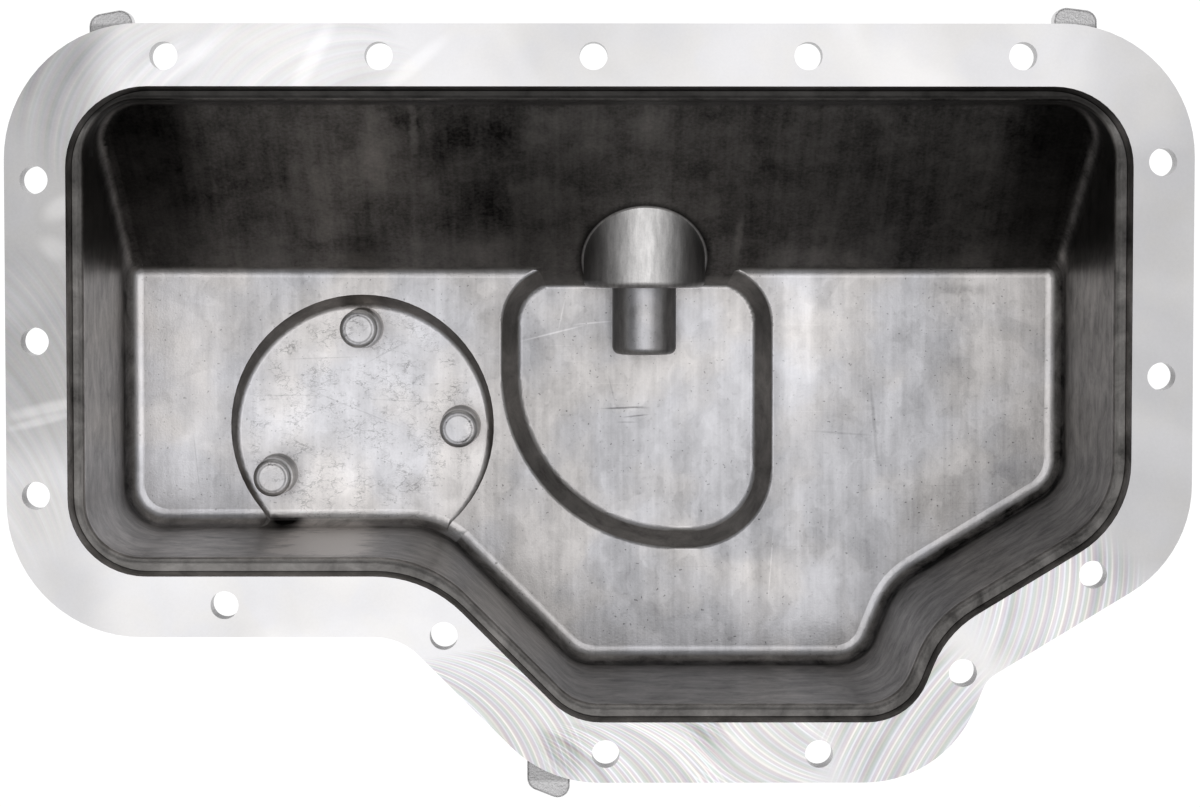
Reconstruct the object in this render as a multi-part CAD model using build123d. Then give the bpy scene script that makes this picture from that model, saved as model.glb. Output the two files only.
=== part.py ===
from build123d import *

import os
from math import atan2, cos, degrees, radians, sin, tan

# A cast aluminium engine oil pan, lying on the underside of its sump with the open side up.
# X runs along the pan, Y across it, and the origin is below the middle of the flange.
# The far side, at +Y, has the long sloped wall with the drain. All sizes are in millimetres.

# Flange
flange_length = 380.0
flange_width = 243.5
flange_thickness = 8.0
flange_underside_edge_radius = 1.5
narrow_end_from_near = 47.15
narrow_end_length = 126.0
left_diagonal_angle = 45.0
right_side_from_near = 73.25
right_diagonal_angle = 31.3
steep_side_angle = 68.0
steep_side_foot_from_right = 79.0

# Radii of the eight corners, clockwise from the far left one: flange, mouth, wall top, wall foot
flange_corner_radii = [43.5, 42.5, 40.5, 10.0, 38.5, 40.0, 20.0, 43.0]
mouth_corner_radii = [26.0, 25.5, 34.0, 34.0, 20.5, 22.0, 40.0, 25.0]
wall_top_corner_radii = [18.0, 18.0, 28.0, 38.0, 16.0, 17.0, 43.0, 18.0]
wall_foot_corner_radii = [14.0, 14.0, 15.0, 24.0, 14.0, 14.0, 26.0, 14.0]

# Depths of the ledge and of the main floor below the flange face
ledge_depth = 4.5
main_floor_depth = 75.0

# How far the inside stands in from the flange's edge on each side, clockwise from the far side:
# far, right, right diagonal, steep, near, left diagonal, narrow end, left
mouth_insets = [20.0, 19.5, 19.5, 17.5, 19.5, 19.5, 19.5, 19.5]
wall_top_insets = [24.3, 24.3, 24.6, 22.6, 24.5, 24.0, 25.0, 24.0]
wall_foot_insets = [26.0, 29.3, 29.6, 28.2, 27.8, 26.0, 28.4, 26.2]
lip_draft = 1.3
wall_thickness = 5.0

# The far wall slopes in from slope_top_depth down to the main floor
slope_top_depth = 10.5
slope_foot_inset = 79.0

# Roundings of the casting
ledge_radius = 2.2
floor_radius = 6.0
underside_radius = 9.0
flange_root_radius = 2.5

# Bolt holes, and the machined seats round them on the underside
bolt_hole_diameter = 9.0
bolt_seat_diameter = 16.5
bolt_seat_depth = 0.5
far_bolt_count = 5
far_bolts_from_left = 51.0
far_bolts_from_right = 55.0
far_bolt_pitch = (flange_length - far_bolts_from_left - far_bolts_from_right) / (far_bolt_count - 1)
# For each side: how far in from it the holes stand, and how far along it from its first corner
bolt_places = {
    "far": (10.35, [far_bolts_from_left + far_bolt_pitch * step for step in range(far_bolt_count)]),
    "right": (10.1, [44.0, 112.6]),
    "right diagonal": (11.2, [30.1]),
    "steep": (7.9, [1.0]),
    "near": (9.3, [40.4, 109.1]),
    "left diagonal": (10.1, [57.1]),
    "narrow end": (10.3, [56.4]),
    "left": (9.4, [45.5, 94.9, 146.5]),
}

# Sump: the deep pocket in the floor, sump_depth below the main floor
sump_depth = 6.5
sump_left_x = -33.9
sump_right_x = 60.3
sump_near_from_near = 67.55
sump_width = 98.2
sump_far_radius = 20.0
sump_near_left_radius = 61.0
sump_near_right_radius = 28.0
sump_wall_slope = 43.0
sump_floor_radius = 2.5
sump_rim_radius = 1.5

# Round pad under the narrow end, with three posts inside for its blind holes
pad_centre_from_left = 107.8
pad_centre_from_narrow_end = 63.1
pad_recess_radius = 45.7
pad_recess_depth = 2.3
pad_recess_fall = 2.8
pad_recess_fall_direction = 100.0
pad_recess_wall_slope = 42.0
pad_recess_floor_radius = 2.0
pad_recess_wall_step = 0.1
pad_radius = 50.0
pad_thickness = 6.3
pad_side_draft = 5.0
post_circle_radius = 34.1
post_angles = [90.0, 0.0, 209.5]
post_base_radius = 7.2
post_top_radius = 6.5
post_height = 16.4
post_edge_radius = 1.8
pad_hole_diameter = 5.0
pad_hole_length = 20.0
drill_point_angle = 118.0

# Drain in the sloped wall: a pocket for the head of the plug, and a boss for its thread
drain_x = 15.7
drain_height = 4.0
drain_housing_radius = 21.0
drain_housing_face_from_far = 85.05
drain_housing_edge_radius = 2.5
drain_pocket_wall = 4.2
drain_boss_radius = 11.0
drain_boss_end_from_far = 108.15
drain_boss_end_radius = 2.6
drain_thread_diameter = 14.0
thread_clearance = 0.05

# Drain plug and its washer
plug_head_across_flats = 19.0
plug_head_height = 6.5
plug_flange_diameter = 24.0
plug_flange_height = 3.0
plug_shank_length = 22.0
plug_tip_chamfer = 1.0
plug_collar_edge_radius = 0.8
washer_diameter = 22.0
washer_thickness = 1.5

# Rough cast lugs that stand out past the flange. For each: its X, 1 for the far side or -1 for
# the near side, and how far its left and its right corner stand out
lug_places = [(-156.0, 1, 2.5, 5.1), (152.0, 1, 5.82, 4.12), (-16.5, -1, 1.76, 7.16)]
lug_width = 13.8
lug_corner_radius = 4.0
lug_brim_radius = 0.8
lug_top_depth = 2.0
lug_root = 14.0

sump_floor_depth = main_floor_depth + sump_depth
flange_face_z = sump_floor_depth + wall_thickness
pad_centre_x = pad_centre_from_left - flange_length / 2
pad_centre_y = narrow_end_from_near + pad_centre_from_narrow_end - flange_width / 2
sump_near_y = sump_near_from_near - flange_width / 2
sump_far_y = sump_near_y + sump_width
drain_housing_face_y = flange_width / 2 - drain_housing_face_from_far
drain_boss_end_y = flange_width / 2 - drain_boss_end_from_far
pad_face_depth = main_floor_depth + pad_recess_depth + pad_thickness
drain_depth = main_floor_depth - drain_height
reach_beyond = 60.0
tolerance = 0.001
sides = ["far", "right", "right diagonal", "steep", "near", "left diagonal", "narrow end", "left"]


def at_depth(depth):
    return flange_face_z - depth


def crossing(first, first_angle, second, second_angle):
    """The point where two lines meet, each given by a point and its direction in degrees."""
    ax, ay = cos(radians(first_angle)), sin(radians(first_angle))
    bx, by = cos(radians(second_angle)), sin(radians(second_angle))
    along = ((second[0] - first[0]) * by - (second[1] - first[1]) * bx) / (ax * by - ay * bx)
    return (first[0] + ax * along, first[1] + ay * along)


def flange_corners():
    """The sharp corners of the flange's outline, clockwise from the far left one."""
    half_length = flange_length / 2
    half_width = flange_width / 2
    right_corner = (half_length, right_side_from_near - half_width)
    steep_foot = (half_length - steep_side_foot_from_right, -half_width)
    notch = crossing(right_corner, 180 + right_diagonal_angle, steep_foot, steep_side_angle)
    narrow_end_side_y = narrow_end_from_near - half_width
    bend = (-half_length + narrow_end_length, narrow_end_side_y)
    diagonal_foot = crossing(bend, -left_diagonal_angle, (0, -half_width), 0)
    return [
        (-half_length, half_width),
        (half_length, half_width),
        right_corner,
        notch,
        steep_foot,
        diagonal_foot,
        bend,
        (-half_length, narrow_end_side_y),
    ]


def side_line(side):
    """First corner of a side of the flange, and the unit vectors along it and into the flange."""
    corners = flange_corners()
    start, end = Vector(*corners[side]), Vector(*corners[(side + 1) % len(corners)])
    along = (end - start).normalized()
    return start, along, Vector(along.Y, -along.X)


def inset_corners(insets):
    """The flange's corners with each side moved inward by its own inset."""
    lines = []
    for side, inset in enumerate(insets):
        start, along, inward = side_line(side)
        point = start + inward * inset
        lines.append(((point.X, point.Y), degrees(atan2(along.Y, along.X))))
    return [crossing(*lines[side - 1], *lines[side]) for side in range(len(lines))]


def outline(insets, radii, depth):
    """A face at a depth whose sides stand in from the flange's edge by the insets."""
    corners = [(x, y, at_depth(depth)) for x, y in inset_corners(insets)]
    return Face(Wire(FilletPolyline(*corners, radius=radii, close=True).edges()))


def wall_inset(side, depth, thickness=0.0):
    """Inset of the inner wall's plane at a depth, or of the outer wall's with a thickness."""
    top, foot = wall_top_insets[side], wall_foot_insets[side]
    draft = (foot - top) / (main_floor_depth - ledge_depth)
    return top + draft * (depth - ledge_depth) - thickness * (1 + draft**2) ** 0.5


def slope_inset(depth, thickness=0.0):
    """Inset of the sloped wall's inner plane at a depth, or of its outer plane."""
    top = wall_inset(0, slope_top_depth)
    slope = (slope_foot_inset - top) / (main_floor_depth - slope_top_depth)
    return top + slope * (depth - slope_top_depth) - thickness * (1 + slope**2) ** 0.5


def is_level(edge, depth):
    """Whether an edge lies in the level plane at a depth."""
    return all(abs(edge.position_at(t).Z - at_depth(depth)) < tolerance for t in (0, 0.3, 0.6, 1))


def bend_radii(radii, growth):
    """Corner radii of an outline moved outward: outer corners open up, inner ones close."""
    inner_corners = (3, 6)
    return [r - growth if corner in inner_corners else r + growth for corner, r in enumerate(radii)]


def far_wall_block(thickness):
    """All that lies on the near side of the sloped wall's inner plane, or of its outer plane."""
    far = flange_width / 2
    shallow, deep = -reach_beyond, main_floor_depth + reach_beyond
    points = [
        (0, far - slope_inset(deep, thickness), at_depth(deep)),
        (0, far - slope_inset(shallow, thickness), at_depth(shallow)),
        (0, -flange_length, at_depth(shallow)),
        (0, -flange_length, at_depth(deep)),
    ]
    profile = Face(Wire.make_polygon(points))
    return extrude(profile, amount=flange_length, dir=(1, 0, 0), both=True)


def far_slope(solid):
    """The sloped face of a solid that the far wall's plane has cut."""
    run = slope_foot_inset - wall_inset(0, slope_top_depth)
    outward = Vector(0, main_floor_depth - slope_top_depth, -run).normalized()
    slanted = [f for f in solid.faces() if (f.normal_at() - outward).length < tolerance]
    return max(slanted, key=lambda f: f.area)


def make_plain_walls():
    """The hollow inside the walls, from the ledge down to the floor, with sharp edges below."""
    walls = loft(
        [
            outline(wall_top_insets, wall_top_corner_radii, ledge_depth),
            outline(wall_foot_insets, wall_foot_corner_radii, main_floor_depth),
        ],
        ruled=True,
    )
    return walls & far_wall_block(0)


def make_walls_hollow():
    """The hollow inside the walls, rounded where they meet the floor and the slope."""
    walls = make_plain_walls()
    foot = [e for e in walls.edges() if is_level(e, main_floor_depth)]
    sloping = [e for e in far_slope(walls).edges() if not is_level(e, main_floor_depth)]
    return fillet(foot + sloping, floor_radius)


def make_lip_hollow():
    """The shallow hollow between the machined face and the ledge."""
    drafted_insets = [inset + lip_draft for inset in mouth_insets]
    return loft(
        [
            outline(mouth_insets, mouth_corner_radii, 0),
            outline(drafted_insets, bend_radii(mouth_corner_radii, -lip_draft), ledge_depth),
        ],
        ruled=True,
    )


def sump_outline(growth, depth):
    """The face inside the sump's rim at a depth, grown outward."""
    left, right = sump_left_x - growth, sump_right_x + growth
    near, far = sump_near_y - growth, sump_far_y + growth
    corners = [(left, far), (right, far), (right, near), (left, near)]
    radii = [sump_far_radius, sump_far_radius, sump_near_right_radius, sump_near_left_radius]
    edge = FilletPolyline(
        *[(x, y, at_depth(depth)) for x, y in corners],
        radius=[r + growth for r in radii],
        close=True,
    )
    return Face(Wire(edge.edges()))


def make_sump_block(thickness, top_depth):
    """The sump's hollow below a depth, or with a thickness the outside of its shell."""
    slope = radians(sump_wall_slope)
    growth = thickness / cos(slope) - (top_depth - main_floor_depth) * tan(slope)
    floor_depth = sump_floor_depth + thickness
    block = extrude(
        sump_outline(growth, top_depth),
        amount=floor_depth - top_depth,
        dir=(0, 0, -1),
        taper=sump_wall_slope,
    )
    block = block & far_wall_block(thickness)
    return fillet([e for e in block.edges() if is_level(e, floor_depth)], sump_floor_radius)


def is_sump_rim(edge):
    """Whether an edge is the brim between the main floor and the sump."""
    middle = edge.center()
    left, right = sump_left_x - sump_rim_radius, sump_right_x + sump_rim_radius
    near = sump_near_y - sump_rim_radius
    inside = left < middle.X < right and near < middle.Y < sump_far_y
    return inside and is_level(edge, main_floor_depth)


def make_sump_hollow():
    """The hollow of the sump with its rounded rim, and the space a little way above it."""
    top_depth = main_floor_depth - floor_radius
    floor_and_sump = make_plain_walls() + make_sump_block(0, top_depth)
    rim = [e for e in floor_and_sump.edges() if is_sump_rim(e)]
    floor_and_sump = fillet(rim, sump_rim_radius)
    column_outline = sump_outline(sump_rim_radius / 2, top_depth)
    column = extrude(column_outline, amount=at_depth(top_depth), dir=(0, 0, -1))
    return floor_and_sump & column


def make_pad_recess():
    """The round recess in the floor over the pad. Its bottom isn't quite level."""
    floor = Pos(pad_centre_x, pad_centre_y, at_depth(main_floor_depth))
    slope = tan(radians(pad_recess_fall))
    fall_x = slope * cos(radians(pad_recess_fall_direction))
    fall_y = slope * sin(radians(pad_recess_fall_direction))
    bottom = Plane(origin=(floor * Pos(0, 0, -pad_recess_depth)).position, z_dir=(fall_x, fall_y, 1))
    above_bottom = extrude(bottom * Rectangle(2 * flange_length, 2 * flange_length), amount=reach_beyond)
    widening = tan(radians(pad_recess_wall_slope))
    depth = pad_recess_depth + pad_recess_radius * slope + pad_recess_floor_radius
    top_radius = pad_recess_radius + floor_radius * widening
    foot_radius = pad_recess_radius - depth * widening
    height = floor_radius + depth
    cone = floor * Pos(0, 0, (floor_radius - depth) / 2) * Cone(foot_radius, top_radius, height)
    recess = cone & above_bottom
    recess = fillet(recess.faces().sort_by(Axis.Z)[0].edges(), pad_recess_floor_radius)
    return recess & make_recess_walls(above_bottom)


def make_recess_walls(above_bottom):
    """The space between the walls above the recess's bottom, rounded like the walls' hollow."""
    levels = []
    for depth in (slope_top_depth, main_floor_depth + reach_beyond):
        insets = [wall_inset(side, depth) + pad_recess_wall_step for side in range(len(sides))]
        levels.append(outline(insets, wall_foot_corner_radii, depth))
    walls = loft(levels, ruled=True) & above_bottom
    return fillet(walls.faces().sort_by(Axis.Z)[0].edges(), floor_radius)


def make_hollow():
    """Everything that is open inside the pan, without its posts and its drain housing."""
    hollow = make_walls_hollow() + make_lip_hollow()
    ledge = [f for f in hollow.faces() if abs(f.center().Z - at_depth(ledge_depth)) < tolerance][0]
    hollow = fillet(ledge.inner_wires()[0].edges(), ledge_radius)
    return hollow + make_sump_hollow() + make_pad_recess()


def make_outer_walls():
    """The outside of the walls and of the floor between them, all of it solid."""
    under_depth = main_floor_depth + wall_thickness
    levels = []
    radii_at = {flange_thickness / 2: wall_top_corner_radii, under_depth: wall_foot_corner_radii}
    for depth, radii in radii_at.items():
        insets = [wall_inset(side, depth, wall_thickness) for side in range(len(sides))]
        levels.append(outline(insets, bend_radii(radii, wall_thickness), depth))
    walls = loft(levels, ruled=True) & far_wall_block(wall_thickness)
    under = [e for e in walls.edges() if is_level(e, under_depth)]
    sloping = [e for e in far_slope(walls).edges() if e.center().Z > at_depth(main_floor_depth)]
    return fillet(under + sloping, underside_radius), levels[1]


def make_envelope():
    """The outside of the walls, the sump and the pad, all of it solid."""
    walls, under_face = make_outer_walls()
    pad_top_depth = main_floor_depth + wall_thickness / 2
    pad_face = Pos(pad_centre_x, pad_centre_y, at_depth(pad_top_depth)) * Circle(pad_radius)
    pad = extrude(
        (Sketch() + pad_face).faces()[0],
        amount=pad_face_depth - pad_top_depth,
        dir=(0, 0, -1),
        taper=pad_side_draft,
    )
    below_walls = extrude(under_face, amount=reach_beyond, dir=(0, 0, -1), both=True)
    sump = make_sump_block(wall_thickness, main_floor_depth + wall_thickness / 2)
    return walls + (pad & below_walls) + sump


def make_flange():
    """The flange plate with its rough underside edge rounded and its three lugs."""
    no_insets = [0.0] * len(sides)
    edge = outline(no_insets, flange_corner_radii, 0)
    plate = extrude(edge, amount=flange_thickness, dir=(0, 0, -1))
    under = [e for e in plate.edges() if is_level(e, flange_thickness)]
    flange = fillet(under, flange_underside_edge_radius)
    lug_height = flange_thickness - lug_top_depth
    for x, far_or_near, left_reach, right_reach in lug_places:
        left, right = x - lug_width / 2, x + lug_width / 2
        root_y = far_or_near * (flange_width / 2 - lug_root)
        left_y = far_or_near * (flange_width / 2 + left_reach)
        right_y = far_or_near * (flange_width / 2 + right_reach)
        corners = [(left, root_y), (left, left_y), (right, right_y), (right, root_y)]
        base = [(x, y, at_depth(flange_thickness)) for x, y in corners]
        lug = extrude(Face(Wire.make_polygon(base)), amount=lug_height, dir=(0, 0, 1))
        upright = lug.edges().filter_by(Axis.Z).sort_by(lambda e: abs(e.center().Y))
        lug = fillet(upright[-2:], lug_corner_radius)
        brim = [e for e in lug.edges() if is_level(e, lug_top_depth)]
        brim = [e for e in brim if abs(e.center().Y) > flange_width / 2]
        flange = flange + fillet(brim, lug_brim_radius)
    return flange


def bolt_positions():
    """Centres of the bolt holes, side by side clockwise from the far left corner."""
    positions = []
    for side, name in enumerate(sides):
        inset, distances = bolt_places[name]
        start, along, inward = side_line(side)
        positions += [start + along * distance + inward * inset for distance in distances]
    return positions


def make_bolt_cuts():
    """The bolt holes through the flange, with the machined seats round them below."""
    cuts = []
    for place in bolt_positions():
        hole = Pos(place.X, place.Y, at_depth(flange_thickness / 2))
        cuts.append(hole * Cylinder(bolt_hole_diameter / 2, 2 * flange_thickness))
        seat = Pos(place.X, place.Y, at_depth(flange_thickness - bolt_seat_depth))
        down = (Align.CENTER, Align.CENTER, Align.MAX)
        cuts.append(seat * Cylinder(bolt_seat_diameter / 2, flange_thickness, align=down))
    return cuts


def drain_section(radius, y):
    """A face across the drain's axis: a half circle on top, with straight sides below it."""
    top_z = at_depth(drain_depth)
    left, right = drain_x - radius, drain_x + radius
    edges = [
        ThreePointArc((left, y, top_z), (drain_x, y, top_z + radius), (right, y, top_z)),
        Polyline((right, y, top_z), (right, y, -radius), (left, y, -radius), (left, y, top_z)),
    ]
    return Face(Wire([e for line in edges for e in line.edges()]))


def make_drain_housing(envelope):
    """The housing round the plug's pocket and the boss round its thread, inside the pan."""
    housing_length = flange_width / 2 - drain_housing_face_y
    section = drain_section(drain_housing_radius, drain_housing_face_y)
    housing = extrude(section, amount=housing_length, dir=(0, 1, 0))
    front = [e for e in housing.edges() if abs(e.center().Y - drain_housing_face_y) < tolerance]
    housing = fillet([e for e in front if e.center().Z > 0], drain_housing_edge_radius)
    section = drain_section(drain_boss_radius, drain_boss_end_y)
    boss_length = drain_housing_face_y - drain_boss_end_y + drain_pocket_wall / 2
    boss = extrude(section, amount=boss_length, dir=(0, 1, 0))
    end = [e for e in boss.edges() if abs(e.center().Y - drain_boss_end_y) < tolerance]
    boss = fillet([e for e in end if e.center().Z > 0], drain_boss_end_radius)
    return (housing + boss) & envelope


def make_drain_cuts():
    """The pocket for the plug's head, open at the side and below, and the threaded bore."""
    seat_y = drain_housing_face_y + drain_pocket_wall
    section = drain_section(drain_housing_radius - drain_pocket_wall, seat_y)
    pocket = extrude(section, amount=flange_width / 2 - seat_y, dir=(0, 1, 0))
    bore_length = seat_y - drain_boss_end_y
    bore = Cylinder(drain_thread_diameter / 2, 2 * bore_length)
    return [pocket, Pos(drain_x, seat_y - bore_length, at_depth(drain_depth)) * Rot(90, 0, 0) * bore]


def post_places():
    """X and Y of each post on the pad."""
    places = []
    for angle in post_angles:
        x = pad_centre_x + post_circle_radius * cos(radians(angle))
        y = pad_centre_y + post_circle_radius * sin(radians(angle))
        places.append((x, y))
    return places


def make_posts():
    """The three round posts on the recess, a little tapered and rounded on top."""
    foot_depth = pad_face_depth - pad_thickness / 2
    height = post_height + foot_depth - main_floor_depth
    foot_down = (Align.CENTER, Align.CENTER, Align.MIN)
    post = Cone(post_base_radius, post_top_radius, height, align=foot_down)
    post = fillet(post.edges().group_by(Axis.Z)[-1], post_edge_radius)
    return [Pos(x, y, at_depth(foot_depth)) * post for x, y in post_places()]


def make_pad_holes():
    """The blind holes from the pad's face up into the posts, with their drill points."""
    radius = pad_hole_diameter / 2
    foot_down = (Align.CENTER, Align.CENTER, Align.MIN)
    hole = Cylinder(radius, pad_hole_length, align=foot_down)
    point_height = radius / tan(radians(drill_point_angle / 2))
    hole = hole + Pos(0, 0, pad_hole_length) * Cone(radius, 0, point_height, align=foot_down)
    return [Pos(x, y, at_depth(pad_face_depth)) * hole for x, y in post_places()]


def make_casting():
    """The whole casting with its machined holes and faces."""
    envelope = make_envelope()
    casting = envelope + make_flange()
    root = [f for f in casting.faces() if is_flange_underside(f)][0].inner_wires()[0]
    casting = fillet(root.edges(), flange_root_radius)
    casting = casting - make_hollow()
    casting = casting + make_drain_housing(envelope)
    casting = casting + make_posts()
    return casting - (make_bolt_cuts() + make_drain_cuts() + make_pad_holes())


def is_flange_underside(face):
    """Whether a face is the level underside of the flange."""
    return abs(face.center().Z - at_depth(flange_thickness)) < tolerance and bool(face.inner_wires())


def make_washer():
    """The sealing washer on the machined seat of the drain's pocket."""
    hole_radius = drain_thread_diameter / 2 + thread_clearance
    section = Circle(washer_diameter / 2) - Circle(hole_radius)
    seat = Plane(origin=drain_seat(0), z_dir=(0, 1, 0))
    return extrude(seat * section, amount=washer_thickness)


def drain_seat(outward):
    """A point on the drain's axis, a distance outward from the machined seat."""
    seat_y = drain_housing_face_y + drain_pocket_wall
    return (drain_x, seat_y + outward, at_depth(drain_depth))


def make_plug():
    """The drain plug: shank, round flange and hexagon head, on the drain's axis."""
    under_head = Plane(origin=drain_seat(washer_thickness), z_dir=(0, 1, 0))
    shank_radius = drain_thread_diameter / 2 - thread_clearance
    shank = extrude(under_head * Circle(shank_radius), amount=-plug_shank_length)
    tip = shank.edges().group_by(Axis.Y)[0]
    shank = chamfer(tip, plug_tip_chamfer)
    collar = extrude(under_head * Circle(plug_flange_diameter / 2), amount=plug_flange_height)
    collar = fillet(collar.edges().group_by(Axis.Y)[-1], plug_collar_edge_radius)
    flat_radius = plug_head_across_flats / 2
    corner_radius = flat_radius / cos(radians(30))
    hexagon = RegularPolygon(flat_radius, 6, major_radius=False)
    head = extrude(under_head * hexagon, amount=plug_flange_height + plug_head_height)
    dome = extrude(under_head * Circle(corner_radius), amount=plug_flange_height + plug_head_height)
    dome = chamfer(dome.edges().group_by(Axis.Y)[-1], corner_radius - flat_radius)
    return shank + collar + (head & dome)


parts = {
    "pan_casting": make_casting(),
    "drain_plug": make_plug(),
    "drain_plug_washer": make_washer(),
}

os.makedirs("parts", exist_ok=True)
for name, shape in parts.items():
    export_step(shape, f"parts/{name}.step")
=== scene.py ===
from math import cos, pi, radians, sin

import bpy
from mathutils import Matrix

# An engine oil pan of cast aluminium, seen from above into its open side.
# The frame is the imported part's: metres, +X along the pan, +Y towards the sloped wall, +Z up.
# The materials count in millimetres of that same frame.

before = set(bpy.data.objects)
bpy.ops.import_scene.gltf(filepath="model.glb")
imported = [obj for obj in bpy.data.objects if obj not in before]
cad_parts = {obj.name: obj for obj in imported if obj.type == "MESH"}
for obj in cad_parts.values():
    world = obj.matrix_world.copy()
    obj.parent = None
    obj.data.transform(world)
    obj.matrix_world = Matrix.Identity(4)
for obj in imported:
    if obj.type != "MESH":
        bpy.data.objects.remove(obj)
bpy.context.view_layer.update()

# Camera, over the pan and looking almost straight down
camera_place = (-0.00383, 0.04896, 0.94910)
camera_turn = (-0.03832, -0.00450, 0.00028)
camera_lens = 80.95
camera_shift_y = -0.04

# Light: one large soft box above, and a dim room round it
softbox_place = (0.0, -0.08, 1.5)
softbox_size = (1.5, 1.2)
softbox_radiance = 1.0
room_radiance = 0.26
white = (1.0, 1.0, 1.0, 1.0)

# The ground: half its width, its paper, and the white that the camera sees of it
ground_half = 2.5
paper_colour = (0.80, 0.80, 0.80, 1.0)
ground_glow = 1.15
ground_glow_share = 0.90

# Base colours and roughness of the metals
outside_colour = (0.50, 0.495, 0.50, 1.0)
wall_colour = (0.42, 0.402, 0.388, 1.0)
slope_colour = (0.42, 0.400, 0.385, 1.0)
# Lighter than the walls as painted light on the housing's top
housing_lit_colour = (0.80, 0.785, 0.78, 1.0)
floor_warm = (0.550, 0.530, 0.524, 1.0)
floor_cool = (0.500, 0.497, 0.518, 1.0)
flange_warm = (1.0, 0.985, 0.982, 1.0)
flange_cool = (0.988, 0.980, 1.0, 1.0)
plug_colour = (0.55, 0.54, 0.52, 1.0)
washer_colour = (0.72, 0.72, 0.73, 1.0)
outside_roughness = 0.40
inside_roughness = 0.36
housing_roughness = 0.44
flange_roughness = 0.30

# Where most of a noise's values lie
noise_range = (0.3, 0.7)

# The round recess over the pad: its centre and radius
disc_centre = (-82.2, -11.5)
disc_radius = 44.5
# The middles of the three posts in it, and the radius of their flat tops
post_centres = [(-82.2, 22.6), (-48.1, -11.5), (-111.9, -28.3)]
post_flat_radius = 4.6

# X and height of the drain's axis
drain_axis = (15.7, 15.5)

# Borders of the casting's kinds of skin. A skin starts to show at the first value of a pair, and
# shows in full at the second. The first four are parts of the surface's direction
faces_up = (0.0, 0.03)
faces_up_flat = (0.80, 0.90)
faces_like_slope_y = (-0.60, -0.70)
faces_like_slope_z = (0.40, 0.55)
mouth_x = (173.0, 172.0)
mouth_y = (105.0, 104.0)
lugs_y = (121.0, 122.0)
pad_edge_radius = (52.0, 51.5)
pad_edge_y = (-47.5, -48.5)
pad_edge_z = (15.0, 14.0)
slope_foot_y = (39.0, 41.0)
housing_radius = (21.9, 21.4)
housing_front_y = (13.2, 13.5)
housing_foot_z = (5.4, 6.0)
floor_highest_z = (31.0, 29.0)
floor_lowest_z = (3.0, 4.5)
flange_face_z = (86.35, 86.45)
post_lowest_z = (22.0, 25.0)
post_highest_z = (29.5, 29.0)
posts_y = (-46.0, -44.0)
posts_radius = (43.0, 42.0)
# The same for the three steps of the mouth, from the lowest up, and for the mouth's far side
rim_low_z = (78.8, 79.8)
rim_high_z = (81.9, 81.4)
ledge_low_z = (81.4, 81.9)
ledge_high_z = (83.0, 82.4)
lip_low_z = (82.4, 83.0)
lip_high_z = (86.3, 85.9)
far_side_y = (88.0, 94.0)

# Face milling on the flange: the cutter's advance with each turn, how far the marks stray from
# it, and the tones of the fine lines and of the broad bands of painted glare, from dark to light
cutter_advance = 1.7
cutter_stray = 9.0
line_tones = (-0.16, 0.56)
glare_band_tones = (-0.62, 0.16)
# For each run of the cutter: a point on its path, the path's direction in degrees, the radius of
# its marks, the middle of the stretch of flange that shows them, that stretch's reach, and how
# strongly the broad bands of painted glare and the fine lines show
cutter_runs = [
    ((-55.2, -128.5), 12.0, 48.7, (-40.0, -96.0), 44.0, 1.0, 1.0),
    ((-13.3, -148.4), 4.0, 48.7, (12.0, -114.0), 36.0, 1.0, 1.0),
    ((84.0, -72.0), 205.0, 48.7, (50.0, -112.0), 28.0, 0.8, 0.8),
    ((226.8, -185.8), 141.0, 150.0, (100.0, -104.0), 34.0, 1.0, 1.0),
    ((80.0, -51.0), 0.0, 72.0, (148.0, -66.0), 32.0, 1.0, 1.0),
    ((-126.0, 78.8), 157.0, 48.7, (-158.0, 100.0), 36.0, 0.45, 0.10),
    ((-76.6, 68.6), 140.0, 48.7, (-96.0, 110.0), 42.0, 0.45, 0.08),
    ((-250.0, -10.0), 80.0, 90.0, (-181.0, 0.0), 60.0, 0.30, 0.06),
]

# Soft spots seen from above: on the flange, the slope and the walls they are painted highlights
# and painted shade, and on the floor lighter and darker patches. For each: X and Y of its middle,
# half length, half width, turn in degrees, and how much it adds to the brightness there
# Painted glints and painted shade on the milled flange face
flange_painted_light = [
    (0.0, 112.0, 44.0, 30.0, 0.0, -0.12),
    (-110.0, 112.0, 40.0, 26.0, 0.0, 0.08),
    (-172.0, 63.0, 9.0, 5.0, 30.0, 0.13),
    (-174.0, 50.0, 8.0, 5.0, -30.0, 0.10),
    (-176.0, -1.0, 18.0, 3.0, 12.0, 0.16),
    (-178.0, -5.0, 16.0, 2.0, 14.0, 0.14),
    (-92.0, 110.0, 26.0, 4.0, 62.0, 0.10),
    (-60.0, 108.0, 20.0, 3.5, 40.0, 0.09),
    (-134.0, 108.0, 26.0, 4.0, 34.0, 0.12),
    (-158.0, 88.0, 24.0, 5.0, 66.0, 0.14),
    (-12.0, -112.0, 14.0, 6.0, -45.0, -0.14),
]
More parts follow.
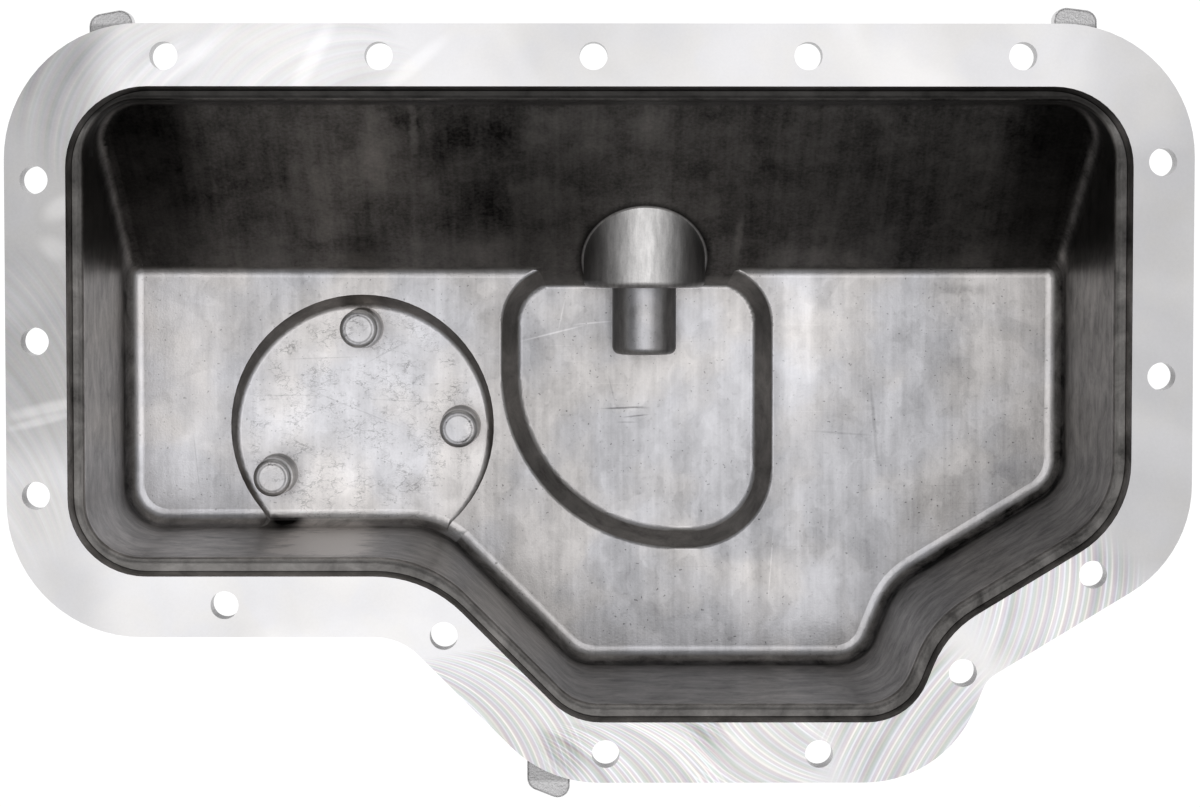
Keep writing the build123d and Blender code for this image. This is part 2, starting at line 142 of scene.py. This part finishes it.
# Painted highlights on the dark slope, and one patch of painted shade
slope_painted_light = [
    (-73.1, 85.6, 17.0, 9.0, 85.0, 1.4),
    (-61.4, 88.7, 12.0, 2.5, 88.0, 0.9),
    (-17.8, 89.3, 12.0, 9.0, 30.0, 0.9),
    (-2.4, 88.7, 13.0, 9.0, 90.0, 0.7),
    (16.6, 90.3, 12.0, 7.0, 60.0, 1.0),
    (-91.9, 56.2, 11.0, 9.0, 0.0, 0.9),
    (-95.6, 82.5, 34.0, 24.0, 90.0, 0.35),
    (-46.2, 47.7, 30.0, 9.0, 0.0, 0.9),
    (-103.6, 45.2, 44.0, 6.0, 0.0, 0.6),
    (-32.9, 79.3, 26.0, 8.0, 90.0, -0.35),
    (47.8, 54.5, 10.0, 2.4, 85.0, 1.2),
    (61.1, 46.6, 8.0, 5.0, 0.0, 0.8),
    (75.0, 46.6, 8.0, 5.0, 10.0, 0.6),
    (88.9, 45.9, 9.0, 4.0, 0.0, 0.7),
    (30.0, 76.0, 40.0, 26.0, 0.0, 0.25),
]
# Painted highlights on the near left wall, and a painted shadow beside the near left post
wall_painted_light = [
    (-90.0, -51.3, 24.0, 12.0, 0.0, 1.00),
    (-103.0, -49.8, 12.0, 7.0, 10.0, 0.60),
    (-86.6, -51.3, 15.0, 8.0, -4.0, 0.90),
    (-140.0, -50.0, 36.0, 14.0, 0.0, 0.45),
    (-108.8, -43.0, 8.5, 5.0, 0.0, -1.6),
]
floor_spots = [
    (-148.0, 12.0, 26.0, 70.0, 0.0, 0.30),
    (-148.0, -22.0, 16.0, 30.0, 0.0, 0.26),
    (-93.0, -31.0, 18.0, 11.0, 0.0, 0.26),
    (58.0, -72.0, 52.0, 18.0, 0.0, 0.24),
    (-34.0, -30.0, 12.0, 22.0, 0.0, -0.16),
    (-82.2, -11.5, 66.0, 66.0, 0.0, 0.22),
    (-29.0, 4.0, 14.0, 60.0, 0.0, -0.12),
    (38.0, 6.0, 30.0, 44.0, 0.0, 0.26),
    (69.8, 12.0, 9.0, 64.0, 0.0, 0.42),
    (77.0, 24.0, 16.0, 46.0, 0.0, 0.20),
    (120.0, 0.0, 34.0, 60.0, 0.0, -0.06),
    (118.0, -38.0, 34.0, 10.0, 28.0, -0.14),
    (142.0, -16.0, 12.0, 40.0, 0.0, -0.12),
    (20.0, -76.0, 60.0, 26.0, 0.0, -0.16),
    (-64.0, -31.0, 8.0, 6.0, 20.0, -0.22),
    (-52.0, -34.0, 8.0, 6.0, 0.0, -0.20),
    (-104.0, -3.0, 26.0, 18.0, 40.0, 0.12),
    (-60.0, -24.0, 26.0, 14.0, 0.0, 0.10),
    (-100.0, -44.0, 14.0, 7.0, 0.0, 0.30),
    (-4.0, 22.0, 20.0, 12.0, 20.0, -0.10),
    (128.0, 36.0, 16.0, 3.0, 0.0, -0.14),
]
# Scratches and short dark marks in the floor
floor_lines = [
    (8.0, -5.6, 9.0, 0.5, 2.0, -0.55),
    (14.0, -5.4, 5.0, 0.6, -3.0, -0.30),
    (13.0, -8.4, 6.0, 0.4, 6.0, -0.45),
    (10.0, -10.6, 5.0, 0.4, 0.0, -0.25),
    (4.5, 1.0, 0.4, 7.0, 14.0, -0.16),
    (-16.0, 20.6, 15.0, 0.45, 14.0, 0.34),
    (-2.0, 24.2, 9.0, 0.40, 5.0, 0.30),
    (-13.0, 27.0, 0.40, 8.0, -12.0, 0.20),
    (-96.0, 12.0, 18.0, 0.35, 2.0, -0.20),
    (-84.0, -6.0, 24.0, 0.35, -22.0, -0.20),
    (-66.0, -3.0, 20.0, 0.35, -3.0, -0.18),
    (-108.0, -1.0, 14.0, 0.30, 0.0, -0.22),
    (-74.0, 14.0, 12.0, 0.35, 28.0, -0.20),
    (-140.0, -24.0, 0.4, 14.0, 6.0, -0.20),
    (84.0, -14.0, 16.0, 0.5, -4.0, -0.16),
    (60.0, -60.0, 0.4, 16.0, -4.0, 0.22),
    (96.0, -12.0, 0.9, 20.0, 5.0, -0.22),
]


class Graph:
    """The node tree of one material, with short calls for the nodes that this scene uses."""

    def __init__(self, name):
        self.material = bpy.data.materials.new(name)
        self.material.use_nodes = True
        self.tree = self.material.node_tree
        self.tree.nodes.clear()

    def add(self, kind, inputs, **settings):
        """A node with its settings made, and each input linked or set."""
        node = self.tree.nodes.new(kind)
        for key, value in settings.items():
            setattr(node, key, value)
        for key, value in inputs.items():
            if isinstance(value, bpy.types.NodeSocket):
                self.tree.links.new(value, node.inputs[key])
            else:
                node.inputs[key].default_value = value
        return node

    def math(self, operation, first, second=0.0):
        return self.add("ShaderNodeMath", {0: first, 1: second}, operation=operation).outputs[0]

    def absolute(self, value):
        return self.math("ABSOLUTE", value)

    def rest(self, share):
        """What a share leaves of the whole."""
        return self.math("SUBTRACT", 1.0, share)

    def total(self, *values):
        result = values[0]
        for value in values[1:]:
            result = self.math("ADD", result, value)
        return result

    def times(self, *values):
        result = values[0]
        for value in values[1:]:
            result = self.math("MULTIPLY", result, value)
        return result

    def fit(self, value, low, high, to_low=0.0, to_high=1.0, smooth=False):
        """A value carried from one range to another and held inside it."""
        kind = "SMOOTHSTEP" if smooth else "LINEAR"
        inputs = {0: value, 1: low, 2: high, 3: to_low, 4: to_high}
        return self.add("ShaderNodeMapRange", inputs, interpolation_type=kind).outputs[0]

    def swing(self, noise, amount):
        """A noise as a change of brightness, by at most that amount either way."""
        return self.fit(noise, *noise_range, -amount, amount)

    def mix(self, kind, factor, first, second):
        """Two colours put together. A Mix node takes colours at 6 and 7, and gives one at 2."""
        inputs = {0: factor, 6: first, 7: second}
        return self.add("ShaderNodeMix", inputs, data_type="RGBA", blend_type=kind).outputs[2]

    def blend(self, factor, first, second):
        """A colour between two colours."""
        return self.mix("MIX", factor, first, second)

    def shade(self, colour, brightness):
        """A colour made brighter or darker by a value."""
        grey = self.vector(brightness, brightness, brightness)
        return self.mix("MULTIPLY", 1.0, colour, grey)

    def place(self):
        """The place on the object in millimetres, and its three parts."""
        metres = self.add("ShaderNodeTexCoord", {}).outputs["Object"]
        vector = self.stretch(metres, 1000.0, 1000.0, 1000.0)
        parts = self.add("ShaderNodeSeparateXYZ", {0: vector}).outputs
        return vector, parts[0], parts[1], parts[2]

    def normal(self):
        """The three parts of the surface's direction."""
        geometry = self.add("ShaderNodeNewGeometry", {})
        parts = self.add("ShaderNodeSeparateXYZ", {0: geometry.outputs["Normal"]}).outputs
        return parts[0], parts[1], parts[2]

    def stretch(self, vector, x, y, z):
        """Coordinates scaled along each axis. A noise in them is long where the scale is small."""
        inputs = {0: vector, 1: (x, y, z)}
        return self.add("ShaderNodeVectorMath", inputs, operation="MULTIPLY").outputs[0]

    def vector(self, x, y, z=0.0):
        return self.add("ShaderNodeCombineXYZ", {0: x, 1: y, 2: z}).outputs[0]

    def noise(self, vector, scale, detail, roughness, distortion=0.0):
        inputs = {
            "Vector": vector,
            "Scale": scale,
            "Detail": detail,
            "Roughness": roughness,
            "Distortion": distortion,
        }
        return self.add("ShaderNodeTexNoise", inputs).outputs[0]

    def cells(self, vector, scale):
        """The distance to the nearest border between random cells, for cracks."""
        inputs = {"Vector": vector, "Scale": scale}
        node = self.add("ShaderNodeTexVoronoi", inputs, feature="DISTANCE_TO_EDGE")
        return node.outputs["Distance"]

    def within(self, vector, x, y, half_length, half_width, turn):
        """Coordinates that reach 1 at the border of an ellipse, at whatever height."""
        endless = 1000.0
        if turn:
            inputs = {
                0: vector,
                1: (x, y, 0.0),
                2: (0.0, 0.0, radians(turn)),
                3: (half_length, half_width, endless),
            }
            return self.add("ShaderNodeMapping", inputs, vector_type="TEXTURE").outputs[0]
        inputs = {
            0: vector,
            1: (1.0 / half_length, 1.0 / half_width, 1.0 / endless),
            2: (-x / half_length, -y / half_width, 0.0),
        }
        return self.add("ShaderNodeVectorMath", inputs, operation="MULTIPLY_ADD").outputs[0]

    def spots(self, vector, places):
        """The sum of soft spots, each with its own size, turn and strength."""
        result = 0.0
        for x, y, half_length, half_width, turn, amount in places:
            place = self.within(vector, x, y, half_length, half_width, turn)
            fall = self.add("ShaderNodeTexGradient", {0: place}, gradient_type="SPHERICAL")
            result = self.total(result, self.fit(fall.outputs[1], 0.0, 0.75, 0.0, amount, True))
        return result

    def turned(self, vector, turn, scale):
        """Coordinates turned in the plane and stretched, for marks that run one way."""
        inputs = {0: vector, 2: (0.0, 0.0, radians(turn)), 3: scale}
        return self.add("ShaderNodeMapping", inputs, vector_type="POINT").outputs[0]

    def warp(self, vector, scale, amount):
        """Coordinates pushed about by a noise, so that borders come out uneven."""
        inputs = {"Vector": vector, "Scale": scale, "Detail": 2.0, "Roughness": 0.6}
        push = self.add("ShaderNodeTexNoise", inputs).outputs[1]
        middle = (0.5, 0.5, 0.5)
        inputs = {0: push, 1: middle}
        push = self.add("ShaderNodeVectorMath", inputs, operation="SUBTRACT").outputs[0]
        inputs = {0: push, 1: (amount, amount, amount), 2: vector}
        return self.add("ShaderNodeVectorMath", inputs, operation="MULTIPLY_ADD").outputs[0]

    def distance(self, first, second, centre):
        """How far two of a place's parts are from a centre in their plane."""
        away_first = self.math("SUBTRACT", first, centre[0])
        away_second = self.math("SUBTRACT", second, centre[1])
        squares = [self.times(away, away) for away in (away_first, away_second)]
        return self.math("SQRT", self.total(*squares))

    def bump(self, height, strength, distance):
        inputs = {"Strength": strength, "Distance": distance, "Height": height}
        return self.add("ShaderNodeBump", inputs).outputs[0]

    def metal(self, colour, roughness, normal=None):
        inputs = {"Base Color": colour, "Metallic": 1.0, "Roughness": roughness}
        if normal is not None:
            inputs["Normal"] = normal
        return self.add("ShaderNodeBsdfPrincipled", inputs).outputs[0]

    def choose(self, factor, first, second):
        """The first shader where the factor is 0, and the second where it is 1."""
        return self.add("ShaderNodeMixShader", {0: factor, 1: first, 2: second}).outputs[0]

    def finish(self, shader):
        self.add("ShaderNodeOutputMaterial", {0: shader})
        return self.material


def milling_marks(g, x, y):
    """The arcs that the face mill left on the flange, as brightness round zero: fine lines of the
    real marks, broad bands of painted glare, and faint colours of painted sheen.
    """
    third_of_turn = 2.1
    marks = 0.0
    colours = (0.0, 0.0, 0.0)
    for point, direction, radius, middle, reach, glare_share, fine_share in cutter_runs:
        along_x, along_y = cos(radians(direction)), sin(radians(direction))
        away_x = g.math("SUBTRACT", x, point[0])
        away_y = g.math("SUBTRACT", y, point[1])
        along = g.total(g.times(away_x, along_x), g.times(away_y, along_y))
        across = g.total(g.times(away_x, -along_y), g.times(away_y, along_x))
        # How far the cutter's middle had come when its edge made the mark that lies here
        under_root = g.math("SUBTRACT", radius**2, g.times(across, across))
        lead = g.math("SQRT", g.math("MAXIMUM", under_root, 0.0))
        feed = g.math("SUBTRACT", along, lead)
        stray = g.noise(g.vector(feed, point[0]), 0.20, 3.0, 0.6)
        turns = g.total(g.times(feed, 2.0 * pi / cutter_advance), g.times(stray, cutter_stray))
        lines = g.fit(g.math("SINE", turns), 0.1, 1.0, *line_tones)
        lines = g.times(lines, g.fit(stray, 0.38, 0.62, 0.25, 1.0))
        # The broad bands are painted glare that follows the arcs
        dark, light = [tone * glare_share for tone in glare_band_tones]
        bands = g.fit(stray, 0.32, 0.68, dark, light)
        both = g.total(bands, g.times(lines, fine_share))
        # The run shows on its own stretch of the flange, and not where its arcs turn back
        shown = g.fit(g.distance(x, y, middle), reach, reach * 0.55, smooth=True)
        shown = g.times(shown, g.fit(lead, radius * 0.30, radius * 0.50))
        marks = g.total(marks, g.times(both, shown))
        # Faint colours of painted sheen along the arcs
        red = g.times(turns, 0.5)
        green = g.math("ADD", red, third_of_turn)
        blue = g.math("ADD", red, 2.0 * third_of_turn)
        phases = g.vector(red, green, blue)
        waves = g.add("ShaderNodeVectorMath", {0: phases}, operation="SINE").outputs[0]
        amount = g.times(shown, 0.5 * (glare_share + fine_share))
        inputs = {0: waves, 1: g.vector(amount, amount, amount), 2: colours}
        colours = g.add("ShaderNodeVectorMath", inputs, operation="MULTIPLY_ADD").outputs[0]
    return marks, colours


def floor_brightness(g, p, warped, grain):
    """The stained floor: streaks along Y, patches with sharp borders, pits and scratches."""
    broad = g.noise(g.stretch(p, 0.085, 0.010, 0.0), 1.0, 3.0, 0.6)
    thin = g.noise(g.stretch(p, 0.55, 0.022, 0.0), 1.0, 3.0, 0.65)
    mottle = g.noise(g.stretch(warped, 0.11, 0.06, 0.0), 1.0, 5.0, 0.62)
    patches = g.noise(g.stretch(warped, 0.045, 0.034, 0.0), 1.0, 3.0, 0.55, 0.4)
    freckles = g.noise(p, 0.55, 2.0, 0.5)
    pits = g.noise(p, 0.85, 1.0, 0.4)
    light_scratches = g.noise(g.turned(p, 63.0, (0.03, 3.2, 0.0)), 1.0, 1.0, 0.5)
    dark_scratches = g.noise(g.turned(p, -32.0, (0.04, 2.6, 0.0)), 1.0, 1.0, 0.5)
    return g.total(
        1.0,
        g.spots(warped, floor_spots),
        g.spots(p, floor_lines),
        g.swing(broad, 0.12),
        g.swing(thin, 0.07),
        g.swing(mottle, 0.17),
        g.fit(patches, 0.535, 0.555, 0.0, -0.09),
        g.fit(patches, 0.445, 0.430, 0.0, 0.07),
        g.fit(freckles, 0.62, 0.70, 0.0, -0.10),
        g.fit(pits, 0.735, 0.76, 0.0, -0.45),
        g.fit(light_scratches, 0.73, 0.77, 0.0, 0.14),
        g.fit(dark_scratches, 0.74, 0.78, 0.0, -0.12),
        g.swing(grain, 0.05),
    )


def disc_marks(g, p, from_disc):
    """Fine cracks in patches of the round recess, and its slightly lighter skin."""
    uneven = g.warp(g.stretch(p, 0.8, 1.3, 0.0), 0.45, 5.0)
    cracks = g.fit(g.cells(uneven, 0.22), 0.012, 0.05, -0.42, 0.0)
    fine = g.fit(g.cells(uneven, 0.60), 0.01, 0.06, -0.26, 0.0)
    region = g.fit(g.noise(p, 0.11, 3.0, 0.6), 0.45, 0.56)
    inside = g.fit(from_disc, disc_radius - 3.0, disc_radius - 6.0)
    light = g.fit(from_disc, disc_radius, disc_radius - 2.0, 0.0, 0.18)
    return g.total(light, g.times(g.total(cracks, fine), region, inside))


def slope_brightness(g, p, warped, x, y):
    """The sloped wall, kept dark by painted shade that lessens towards its foot: streaks that run
    down it, painted highlights, grain, and painted shade at its ends.
    """
    broad = g.noise(g.stretch(p, 0.055, 0.012, 0.0), 1.0, 4.0, 0.62)
    thin = g.noise(g.stretch(p, 0.30, 0.030, 0.0), 1.0, 3.0, 0.7)
    cloud = g.noise(warped, 0.050, 4.0, 0.68)
    speckle = g.noise(p, 0.9, 2.0, 0.6)
    middle_x = 2.0
    from_middle = g.absolute(g.math("SUBTRACT", x, middle_x))
    # Painted shade at both ends of the slope, in its corners
    end_shade = g.fit(y, 90.0, 46.0, 0.20, 0.55)
    at_end = g.fit(from_middle, 126.0, 146.0, smooth=True)
    ends = g.rest(g.times(at_end, g.rest(end_shade)))
    total = g.total(
        # Painted shade keeps the whole slope dark, less towards its foot
        0.54,
        g.fit(y, 58.0, 42.0, 0.0, 0.24),
        g.times(g.spots(warped, slope_painted_light), 0.42),
        g.swing(broad, 0.20),
        g.swing(thin, 0.13),
        g.swing(cloud, 0.32),
        g.swing(speckle, 0.14),
    )
    return g.times(g.math("MAXIMUM", total, 0.08), ends)


def wall_brightness(g, p, x, y, z):
    """The steep walls: streaks that run along them, mottled, with painted highlights and painted
    shade, and a painted shadow at their upper ends by the slope.
    """
    bands = g.noise(g.stretch(p, 0.045, 0.045, 0.42), 1.0, 3.0, 0.6)
    mottle = g.noise(g.stretch(p, 0.10, 0.10, 0.17), 1.0, 5.0, 0.68, 0.5)
    # A painted highlight on the near left wall
    near_left_highlight = g.times(g.fit(x, -60.0, -90.0), g.fit(y, 0.0, -40.0))
    below_mouth = g.fit(z, 80.0, 70.0)
    blotted = g.fit(mottle, 0.3, 0.6, 0.5, 1.2)
    # A painted shadow darkens the walls by the slope, less on the steps of the mouth
    lift = g.times(g.fit(z, 78.0, 81.0), g.fit(y, 82.0, 90.0, 0.62, 1.0))
    shadow = g.math("MAXIMUM", g.fit(y, 42.0, 54.0, 1.0, 0.36, True), lift)
    total = g.total(
        0.98,
        # Painted shade towards the right, the near side and the far left
        g.fit(x, 60.0, 110.0, 0.0, -0.24),
        g.fit(y, 30.0, -30.0, 0.0, -0.16),
        g.fit(x, -140.0, -150.0, 0.0, -0.14),
        g.times(near_left_highlight, 0.30),
        g.times(g.spots(p, wall_painted_light), below_mouth, blotted),
        g.swing(bands, 0.11),
        g.swing(mottle, 0.36),
        g.fit(z, 11.3, 10.8, 0.0, 0.20),
    )
    darkest, lightest = 0.05, 2.1
    held = g.math("MINIMUM", g.math("MAXIMUM", total, darkest), lightest)
    return g.times(held, shadow)


def flange_colour(g, p, x, y, grain):
    """The milled face: tones that change along it, the cutter's arcs, a painted sheen, and soft
    painted glints.
    """
    marks, colours = milling_marks(g, x, y)
    # A painted sheen that drifts over the whole face
    sheen = g.noise(g.warp(p, 0.02, 60.0), 0.022, 2.0, 0.5)
    left = g.times(g.fit(x, -150.0, -168.0, smooth=True), g.fit(y, -26.0, -6.0, 0.36, 1.0, True))
    left = g.times(left, g.fit(y, -96.0, -60.0))
    right = g.times(g.fit(x, 140.0, 170.0, smooth=True), g.fit(y, 108.0, 60.0, 0.62, 1.0))
    right = g.times(right, g.fit(y, -72.0, -50.0))
    brightness = g.total(
        0.80,
        g.times(left, -0.31),
        g.times(right, -0.25),
        g.times(marks, 0.40),
        g.spots(p, flange_painted_light),
        g.swing(sheen, 0.06),
        g.swing(grain, 0.014),
    )
    lightest = 0.96
    hue = g.noise(g.warp(p, 0.05, 30.0), 0.05, 1.0, 0.5)
    tint = g.blend(g.fit(hue, 0.40, 0.60), flange_warm, flange_cool)
    base = g.shade(tint, g.math("MINIMUM", brightness, lightest))
    colour_strength = (0.028, 0.028, 0.028)
    inputs = {0: colours, 1: colour_strength, 2: base}
    return g.add("ShaderNodeVectorMath", inputs, operation="MULTIPLY_ADD").outputs[0]


def fillet_painted_light(g, z):
    """Painted light on the rounding round the floor: a highlight line at its foot, then a grey
    band and a dark band of painted shade.
    """
    line = g.times(g.fit(z, 11.52, 11.62), g.fit(z, 12.10, 11.90))
    band = g.times(g.fit(z, 12.0, 12.4), g.fit(z, 14.2, 13.4))
    dark = g.times(g.fit(z, 13.6, 14.8), g.fit(z, 19.5, 17.0))
    return g.total(g.times(line, 0.36), g.times(band, -0.10), g.times(dark, -0.40))


def mouth_painted_light(g, y, z):
    """Painted light and shade on the steps of the mouth: how much darker or lighter they are than
    the wall below them.
    """
    far = g.fit(y, *far_side_y)
    ledge = g.times(g.fit(z, *ledge_low_z), g.fit(z, *ledge_high_z))
    rim = g.times(g.fit(z, *rim_low_z), g.fit(z, *rim_high_z))
    lip = g.times(g.fit(z, *lip_low_z), g.fit(z, *lip_high_z))
    near_painted_light = g.total(1.0, g.times(ledge, -0.52), g.times(rim, 0.7), g.times(lip, 0.8))
    far_painted_light = g.total(1.0, g.times(ledge, -0.90), g.times(rim, -0.6), g.times(lip, -0.5))
    return g.total(g.times(far_painted_light, far), g.times(near_painted_light, g.rest(far)))


def casting_material():
    """Cast aluminium: rough skin, stained floor, walls and slope with painted light and shade, and
    a milled flange face.
    """
    g = Graph("cast_aluminium")
    p, x, y, z = g.place()
    nx, ny, nz = g.normal()
    grain = g.noise(p, 1.3, 3.0, 0.7)
    fine_grain = g.swing(grain, 0.06)
    rough = g.bump(grain, 0.22, 0.0003)
    warped = g.warp(p, 0.12, 7.0)

    # Where each kind of skin shows
    from_disc = g.distance(x, y, disc_centre)
    from_drain = g.distance(x, z, drain_axis)
    in_mouth = g.times(g.fit(g.absolute(y), *mouth_y), g.fit(g.absolute(x), *mouth_x))
    # The pad is a boss that stands out below the near left wall, and its upper edge is outside
    pad_edge = g.times(
        g.fit(from_disc, *pad_edge_radius), g.fit(y, *pad_edge_y), g.fit(z, *pad_edge_z)
    )
    inside = g.times(g.fit(nz, *faces_up), in_mouth, g.rest(pad_edge))
    on_slope = g.times(
        g.fit(ny, *faces_like_slope_y), g.fit(nz, *faces_like_slope_z), g.fit(y, *slope_foot_y)
    )
    on_housing = g.times(
        g.fit(from_drain, *housing_radius), g.fit(y, *housing_front_y), g.fit(z, *housing_foot_z)
    )
    on_floor = g.times(
        g.fit(nz, *faces_up_flat),
        g.fit(z, *floor_highest_z),
        g.fit(z, *floor_lowest_z),
        inside,
    )
    on_face = g.fit(z, *flange_face_z)
    on_post = g.times(g.fit(z, *post_lowest_z), g.fit(z, *post_highest_z), g.fit(y, *posts_y))
    on_post = g.times(on_post, g.fit(from_disc, *posts_radius))
    # The rounded upper edges of what is sunk in the floor: neither steep nor quite level. A
    # painted highlight runs along them
    sunk_edge_highlight = g.times(g.fit(nz, 0.93, 0.96), g.fit(nz, 0.9995, 0.993), g.fit(z, 13.5, 12.5))

    # The skin outside: plain cast grey, a little cloudy, and painted light on the lugs
    cloud = g.noise(p, 0.035, 3.0, 0.6, 0.6)
    skin = g.total(g.fit(cloud, *noise_range, 0.90, 1.12), fine_grain, fine_grain)
    # Painted light on the lugs' tops
    skin = g.math("ADD", skin, g.fit(g.absolute(y), *lugs_y, 0.0, 0.45))
    cast = g.bump(grain, 0.5, 0.0004)
    outer = g.metal(g.shade(outside_colour, skin), outside_roughness, cast)

    # The walls and the steps of the mouth, with painted light and shade on the steps, and painted
    # highlights in the corners, on the posts and along the sunk edges
    wall = g.total(wall_brightness(g, p, x, y, z), fillet_painted_light(g, z), fine_grain)
    # A painted highlight along the corners between the slope and the side walls
    corner_highlight = g.times(
        g.fit(g.absolute(nx), 0.25, 0.40),
        g.fit(g.absolute(nx), 0.85, 0.65),
        g.fit(ny, -0.15, -0.30),
        g.fit(z, 78.0, 70.0),
        g.fit(z, 12.0, 18.0),
        g.fit(g.absolute(x), 104.0, 112.0),
    )
    gain = mouth_painted_light(g, y, z)
    # Painted light on the steps, and painted highlights in the corners, on the posts and along the
    # sunk edges
    gain = g.total(gain, g.times(corner_highlight, 1.6), g.times(on_post, 3.0), g.times(sunk_edge_highlight, 0.6))
    # Beside the drain's housing, and not in front of it, lies its shadow
    by_housing = g.total(g.fit(from_drain, 21.3, 24.5, 0.22, 1.0, True), g.fit(y, 34.0, 30.0))
    by_housing = g.math("MINIMUM", by_housing, 1.0)
    wall = g.times(wall, gain, by_housing)
    walls = g.metal(g.shade(wall_colour, g.math("MAXIMUM", wall, 0.04)), inside_roughness, rough)

    # The slope, with that same shadow
    slope_shade = g.times(slope_brightness(g, p, warped, x, y), by_housing)
    slope = g.metal(g.shade(slope_colour, slope_shade), inside_roughness, rough)

    # The drain's housing: a lighter colour as painted light on top, scuffed, and painted shade
    # down its sides
    scuffs = g.noise(g.stretch(p, 0.50, 0.09, 0.30), 1.0, 4.0, 0.65)
    front_shade = g.fit(y, 38.2, 36.9, 0.0, -0.12)
    housing_skin_and_shade = g.total(1.0, fine_grain, g.swing(scuffs, 0.22), front_shade)
    # Painted shade down the housing's sides
    housing_skin_and_shade = g.times(housing_skin_and_shade, g.fit(g.absolute(nx), 0.35, 0.95, 1.0, 0.22))
    housing = g.metal(g.shade(housing_lit_colour, housing_skin_and_shade), housing_roughness, rough)

    # The floor, with a line of painted shade round each post's flat top
    from_post = g.distance(x, y, post_centres[0])
    for centre in post_centres[1:]:
        from_post = g.math("MINIMUM", from_post, g.distance(x, y, centre))
    from_ring = g.absolute(g.math("SUBTRACT", from_post, post_flat_radius))
    # A line of painted shade at the edge of each post's flat top
    post_top_shade = g.times(on_post, g.fit(from_ring, 0.45, 0.15))
    bright = g.total(
        floor_brightness(g, p, warped, grain),
        disc_marks(g, p, from_disc),
        g.times(sunk_edge_highlight, 0.27),
        g.times(post_top_shade, -0.60),
    )
    stain = g.fit(g.noise(warped, 0.03, 2.0, 0.5), 0.42, 0.60)
    floor_tint = g.blend(stain, floor_warm, floor_cool)
    floor = g.metal(g.shade(floor_tint, g.math("MAXIMUM", bright, 0.05)), inside_roughness, rough)

    milled = g.metal(flange_colour(g, p, x, y, grain), flange_roughness)

    shown = g.choose(inside, outer, walls)
    shown = g.choose(on_slope, shown, slope)
    shown = g.choose(on_housing, shown, housing)
    shown = g.choose(on_floor, shown, floor)
    return g.finish(g.choose(on_face, shown, milled))


def steel_material():
    """The drain plug's plated steel, patchy, with turning marks round its axis."""
    g = Graph("plug_steel")
    p = g.place()[0]
    patches = g.noise(p, 0.25, 3.0, 0.6)
    turned = g.noise(g.stretch(p, 0.3, 6.0, 0.3), 1.0, 2.0, 0.5)
    brightness = g.total(0.9, g.fit(patches, *noise_range, -0.2, 0.15), g.swing(turned, 0.1))
    roughness = g.fit(patches, *noise_range, 0.28, 0.45)
    marks = g.bump(turned, 0.15, 0.0002)
    return g.finish(g.metal(g.shade(plug_colour, brightness), roughness, marks))


def washer_material():
    """The sealing washer's soft aluminium, dull and a little marked."""
    g = Graph("washer_aluminium")
    p = g.place()[0]
    patches = g.noise(p, 0.4, 3.0, 0.6)
    brightness = g.fit(patches, *noise_range, 0.8, 1.05)
    roughness = g.fit(patches, *noise_range, 0.35, 0.5)
    marks = g.bump(g.noise(p, 2.0, 3.0, 0.6), 0.15, 0.0002)
    return g.finish(g.metal(g.shade(washer_colour, brightness), roughness, marks))


def dress(node, material):
    """Gives a node of the part one material."""
    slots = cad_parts[node].data.materials
    slots.clear()
    slots.append(material)


def add_floor():
    """The white ground that the pan stands on. It stays white to the camera but keeps a shadow."""
    mesh = bpy.data.meshes.new("ground")
    half = ground_half
    corners = [(-half, -half, 0), (half, -half, 0), (half, half, 0), (-half, half, 0)]
    mesh.from_pydata(corners, [], [(0, 1, 2, 3)])
    ground = bpy.data.objects.new("ground", mesh)
    bpy.context.scene.collection.objects.link(ground)
    g = Graph("ground_white")
    path = g.add("ShaderNodeLightPath", {}).outputs
    seen = g.math("MAXIMUM", path["Is Camera Ray"], path["Is Glossy Ray"])
    paper = g.add("ShaderNodeBsdfDiffuse", {"Color": paper_colour}).outputs[0]
    glow = g.add("ShaderNodeEmission", {"Color": white, "Strength": ground_glow}).outputs[0]
    mesh.materials.append(g.finish(g.choose(g.times(seen, ground_glow_share), paper, glow)))


def add_light():
    """The soft box above the pan, and the dim room, which the camera sees as plain white."""
    lamp = bpy.data.lights.new("softbox", "AREA")
    lamp.shape = "RECTANGLE"
    lamp.size, lamp.size_y = softbox_size
    lamp.energy = softbox_radiance * pi * softbox_size[0] * softbox_size[1]
    softbox = bpy.data.objects.new("softbox", lamp)
    softbox.location = softbox_place
    bpy.context.scene.collection.objects.link(softbox)

    world = bpy.data.worlds.new("room")
    world.use_nodes = True
    tree = world.node_tree
    tree.nodes.clear()
    path = tree.nodes.new("ShaderNodeLightPath")
    mixed = tree.nodes.new("ShaderNodeMixShader")
    output = tree.nodes.new("ShaderNodeOutputWorld")
    tree.links.new(path.outputs["Is Camera Ray"], mixed.inputs[0])
    for slot, radiance in [(1, room_radiance), (2, 1.0)]:
        background = tree.nodes.new("ShaderNodeBackground")
        background.inputs[0].default_value = white
        background.inputs[1].default_value = radiance
        tree.links.new(background.outputs[0], mixed.inputs[slot])
    tree.links.new(mixed.outputs[0], output.inputs[0])
    bpy.context.scene.world = world


def add_camera():
    """The camera at the photograph's place."""
    data = bpy.data.cameras.new("camera")
    data.lens = camera_lens
    data.sensor_width = 36.0
    data.sensor_fit = "HORIZONTAL"
    data.shift_y = camera_shift_y
    camera = bpy.data.objects.new("camera", data)
    camera.location = camera_place
    camera.rotation_euler = camera_turn
    bpy.context.scene.collection.objects.link(camera)
    bpy.context.scene.camera = camera


dress("pan_casting", casting_material())
dress("drain_plug", steel_material())
dress("drain_plug_washer", washer_material())
add_floor()
add_light()
add_camera()
bpy.context.scene.view_settings.view_transform = "Standard"
